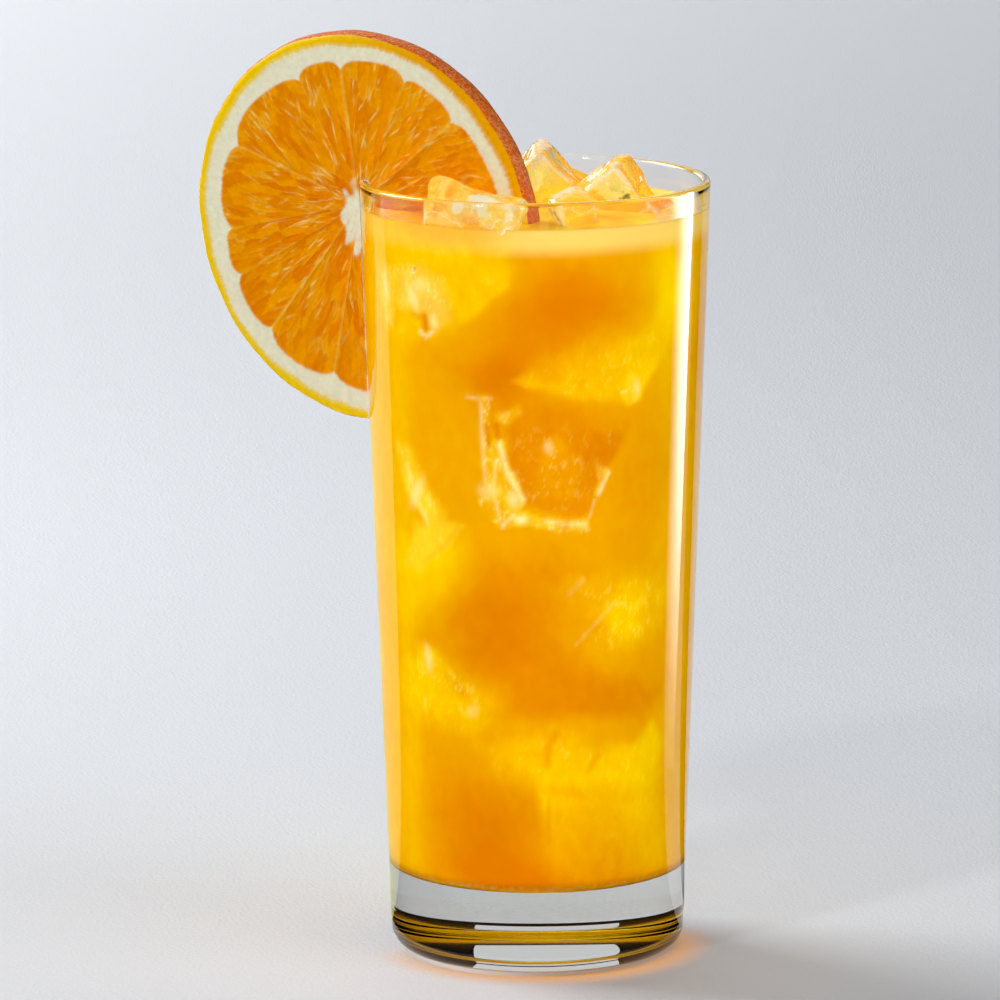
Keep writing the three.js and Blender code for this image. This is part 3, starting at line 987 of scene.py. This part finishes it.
def peel_strips(wheel):
    """Strips of the dimpled peel, from the back to the front: points, colours, gloss and peel."""
    girth = wheel.angles * SLICE_RADIUS
    whole = 2 * np.pi * SLICE_RADIUS
    pores = np.stack([wheel.draw.uniform(0, whole, PORES), wheel.draw.uniform(-3, 3, PORES)], 1)
    away = ((girth - girth[0])[:, None] - pores[:, 0] + whole / 2) % whole - whole / 2
    strips = []
    for t in np.linspace(-1, 1, 12):
        z = (SLICE_THICKNESS / 2 - 0.75) * t
        bulge = 0.35 * (1 - abs(t) ** 3) - 0.15
        near = np.hypot(away, z - pores[:, 1]).min(1)
        # Painted shade in the dimples and a painted highlight around their rims.
        dimple = bell(near / 0.38)
        speckle_highlight = bell((near - 0.5) / 0.16) * (0.5 + 0.5 * np.sin(7.3 * girth + 9 * z))
        colours = mix(mix(PEEL_COLOUR, PORE_SHADE_COLOUR, dimple), PORE_RIM_HIGHLIGHT, 0.5 * speckle_highlight)
        points = wheel.ring(wheel.outline + bulge - 0.16 * dimple, np.full(wheel.count, z))
        strips.append((points, colours, 0.2, 1))
    return strips


def slice_piece():
    """The wheel of orange, with the slot that sits on the rim of the glass."""
    wheel = Wheel()
    faces = {}
    for side in (-1, 1):
        faces[side] = flesh_strips(wheel, side) + rind_strips(wheel, side)
    hubs = {}
    for side in (-1, 1):
        hub = np.array([[*HUB, side * (SLICE_THICKNESS / 2 - 1)]])
        hubs[side] = [(hub, np.array([PITH_COLOUR]), 0.1, 0)]
    strips = hubs[-1] + faces[-1] + peel_strips(wheel) + faces[1][::-1] + hubs[1]
    axes = slice_axes()
    piece = skin("orange_wheel", [points @ axes + SLICE_CENTRE for points, _, _, _ in strips])
    set_colours(piece, "tint", np.concatenate([colours for _, colours, _, _ in strips]))
    set_values(piece, "gloss", np.concatenate([np.full(len(points), g) for points, _, g, _ in strips]))
    set_values(piece, "peel", np.concatenate([np.full(len(points), p) for points, _, _, p in strips]))
    low = 2 * BASE_THICKNESS
    ring = [(outer_radius(low) + SLOT_PLAY, low)]
    ring += rim_arc(SLOT_PLAY, 10)
    ring += [(inner_radius(low) - SLOT_PLAY, low)]
    carve(piece, revolve("slot", ring, even_angles(SLOT_COLUMNS), looped=True))
    return piece


def slice_material():
    nodes = material_nodes("cut_orange")
    shader = nodes.add("ShaderNodeBsdfPrincipled", {"Specular IOR Level": 0.2, "Subsurface Weight": 0.25})
    shader.inputs["Subsurface Radius"].default_value = (1.0, 0.45, 0.1)
    shader.inputs["Subsurface Scale"].default_value = 0.0014
    grain = nodes.grain(scale=900, detail=3)
    shade = nodes.spread(grain, {"To Min": 0.86, "To Max": 1.12})
    # Painted pale highlights along a fine net on the peel.
    pores = nodes.add("ShaderNodeTexVoronoi", {"Scale": 1000}, feature="DISTANCE_TO_EDGE")
    nodes.join(nodes.place(), pores.inputs["Vector"])
    pale = nodes.spread(pores.outputs["Distance"], {"From Min": 0.08, "From Max": 0.0})
    speckle_highlight = nodes.both("MULTIPLY", nodes.both("MULTIPLY", pale, grain), nodes.attribute("peel"))
    tint_with_highlights = nodes.add("ShaderNodeMixRGB", {"Color2": (1, 0.48, 0.14, 1)})
    nodes.join(speckle_highlight, tint_with_highlights.inputs["Fac"])
    nodes.join(nodes.scaled(nodes.attribute("tint", "Color"), shade), tint_with_highlights.inputs["Color1"])
    nodes.join(tint_with_highlights.outputs["Color"], shader.inputs["Base Color"])
    rough = nodes.spread(nodes.attribute("gloss"), {"To Min": 0.62, "To Max": 0.16})
    nodes.join(rough, shader.inputs["Roughness"])
    nodes.bump(shader, grain, strength=0.25, distance=0.0003)
    nodes.show(shader)
    return nodes.owner


def floor_stage():
    """The pale floor, a little under the foot of the glass."""
    size = 6000.0
    drop = -0.2
    corners = [(-size, -size, drop), (size, -size, drop), (size, size, drop), (-size, size, drop)]
    floor = make_object("floor", corners, [(0, 1, 2, 3)])
    nodes = material_nodes("pale_floor")
    shader = nodes.add("ShaderNodeBsdfPrincipled", {"Roughness": 0.9, "Specular IOR Level": 0})
    shader.inputs["Base Color"].default_value = (0.745, 0.77, 0.81, 1)
    nodes.bump(shader, nodes.grain(scale=1200, detail=2), strength=0.2, distance=0.0012)
    nodes.show(shader)
    floor.data.materials.append(nodes.owner)


def hide_from(obj, *rays):
    """Hides a lamp or a stage piece from some kinds of rays."""
    for ray in rays:
        setattr(obj, "visible_" + ray, False)


def add_area(name, place, target, width, height, power, colour):
    """A rectangular lamp at a place, pointed at a target, in metres."""
    lamp = bpy.data.lights.new(name, "AREA")
    lamp.shape = "RECTANGLE"
    lamp.size = width
    lamp.size_y = height
    lamp.energy = power
    lamp.color = colour
    obj = bpy.data.objects.new(name, lamp)
    bpy.context.collection.objects.link(obj)
    obj.location = Vector(place)
    obj.rotation_euler = (Vector(target) - Vector(place)).to_track_quat("-Z", "Y").to_euler()
    return obj


def soften_edges(lamp):
    """Fades a lamp out towards its left and lower edges, as cloth does at the edge of a softbox."""
    nodes = Nodes(lamp, "Light")
    light = nodes.add("ShaderNodeEmission")
    split = nodes.add("ShaderNodeSeparateXYZ")
    nodes.join(nodes.add("ShaderNodeNewGeometry").outputs["Parametric"], split.inputs[0])
    fades = []
    for axis, reach, least in (("X", 0.75, 0.0), ("Y", 0.5, 0.04)):
        ends = {"From Max": reach, "To Min": least}
        fades.append(nodes.spread(split.outputs[axis], ends, interpolation_type="SMOOTHSTEP"))
    nodes.join(nodes.both("MULTIPLY", *fades), light.inputs["Strength"])
    nodes.show(light)


def floor_sheet(name, bearings, radii, height):
    """A part of a flat ring about the glass, at some bearings from the front."""
    turns = np.radians(bearings)
    rows = [np.stack([r * np.sin(turns), -r * np.cos(turns), np.full(len(turns), height)], 1) for r in radii]
    cell = np.arange(len(radii) * len(turns)).reshape(len(radii), len(turns))
    return make_object(name, np.concatenate(rows), grid_quads(cell))


def floor_cloth(name, start, end, colour):
    """Cloth on the floor around the glass between two bearings, seen only in its reflections."""
    cloth = floor_sheet(name, np.linspace(start, end, 40), CLOTH_RADII, 0.1)
    nodes = material_nodes(name)
    shader = nodes.add("ShaderNodeBsdfDiffuse")
    weave = nodes.add("ShaderNodeTexNoise", {"Scale": 300})
    shade = nodes.add("ShaderNodeValToRGB")
    shade.color_ramp.elements[0].color = (*[0.9 * c for c in colour], 1)
    shade.color_ramp.elements[1].color = (*[1.1 * c for c in colour], 1)
    nodes.join(weave.outputs["Fac"], shade.inputs["Fac"])
    nodes.join(shade.outputs["Color"], shader.inputs["Color"])
    nodes.show(shader)
    cloth.data.materials.append(nodes.owner)
    hide_from(cloth, "camera", "diffuse", "transmission", "shadow")


def orange_spill():
    """Stands in for the orange light that the drink throws on the floor at the foot of the glass;
    it also shades the floor under it.
    """
    columns = 60
    rows = 8
    bearings = np.linspace(-80, 115, columns)
    spill = floor_sheet("orange_spill", bearings, np.linspace(28.2, 36, rows), 1.2)
    ends = np.sin(np.linspace(0, np.pi, columns)) ** 0.5
    set_values(spill, "fade", np.concatenate([ends * (1 - part) for part in np.linspace(0, 1, rows)]))
    nodes = material_nodes("orange_light")
    clear = nodes.add("ShaderNodeBsdfTransparent")
    light = nodes.add("ShaderNodeEmission", {"Color": (1, 0.4, 0.05, 1), "Strength": 1.2})
    nodes.show(nodes.blend(nodes.attribute("fade"), clear, light))
    spill.data.materials.append(nodes.owner)
    hide_from(spill, "camera", "glossy", "transmission")


def studio():
    """Lamps, cloths and the light around them."""
    for name, place, target, width, height, power, colour, hidden in LAMPS:
        hide_from(add_area(name, place, target, width, height, power, colour), "camera", *hidden)
    soften_edges(bpy.data.lights["right_strip"])
    orange_spill()
    for name, start, end, colour in CLOTHS:
        floor_cloth(name, start, end, colour)


def studio_world():
    """A dark dome that is lighter overhead, behind a plain backdrop that only the camera sees."""
    world = bpy.data.worlds.new("studio")
    bpy.context.scene.world = world
    nodes = Nodes(world, "World")
    split = nodes.add("ShaderNodeSeparateXYZ")
    nodes.join(nodes.add("ShaderNodeTexCoord").outputs["Generated"], split.inputs[0])
    ends = {"From Min": 0.5, "From Max": 1.0, "To Min": 0.015, "To Max": 0.3}
    strength = nodes.spread(split.outputs["Z"], ends, interpolation_type="SMOOTHSTEP")
    dome = nodes.add("ShaderNodeBackground", {"Color": (0.96, 0.98, 1, 1)})
    nodes.join(strength, dome.inputs["Strength"])
    backdrop = nodes.add("ShaderNodeBackground", {"Color": (0.7, 0.72, 0.75, 1)})
    path = nodes.add("ShaderNodeLightPath")
    nodes.show(nodes.blend(path.outputs["Is Camera Ray"], dome, backdrop))


def photo_camera():
    """The camera fitted to the photo."""
    elevation = math.radians(CAMERA_ELEVATION_DEG)
    roll = math.radians(CAMERA_ROLL_DEG)
    back = Vector((0, -math.cos(elevation), math.sin(elevation)))
    level = Vector((1, 0, 0))
    rise = back.cross(level)
    right = math.cos(roll) * level + math.sin(roll) * rise
    up = math.cos(roll) * rise - math.sin(roll) * level
    camera = bpy.data.cameras.new("photo_camera")
    camera.lens = CAMERA_LENS
    camera.sensor_width = 36
    camera.clip_end = 50
    obj = bpy.data.objects.new("photo_camera", camera)
    bpy.context.collection.objects.link(obj)
    turn = Matrix((right, up, back)).transposed().to_4x4()
    obj.matrix_world = Matrix.Translation(Vector(CAMERA_TARGET) * MM + back * CAMERA_DISTANCE) @ turn
    bpy.context.scene.camera = obj


dress(glass_piece(), glass_material(), "glass")
dress(drink_piece(), drink_material(), "drink")
dress(slice_piece(), slice_material(), "orange_slice")
wet_ice = ice_material()
for number, (node_name, (middle, extent, turns, cloudy)) in enumerate(ICE_OUT.items()):
    block = ice_block(node_name + "_melted", middle, extent, turns, 0, ICE_DIVISIONS, ICE_SEED + number)
    soak_ice(block, cloudy)
    dress(block, wet_ice, node_name)

floor_stage()
studio()
studio_world()
photo_camera()

scene = bpy.context.scene
scene.view_settings.view_transform = "Standard"
scene.view_settings.use_curve_mapping = True
scene.view_settings.curve_mapping.black_level = (0.008, 0.008, 0.008)
scene.cycles.use_denoising = True
scene.cycles.max_bounces = 16
scene.cycles.transmission_bounces = 14
scene.cycles.transparent_max_bounces = 16
scene.cycles.caustics_reflective = False
scene.cycles.caustics_refractive = False
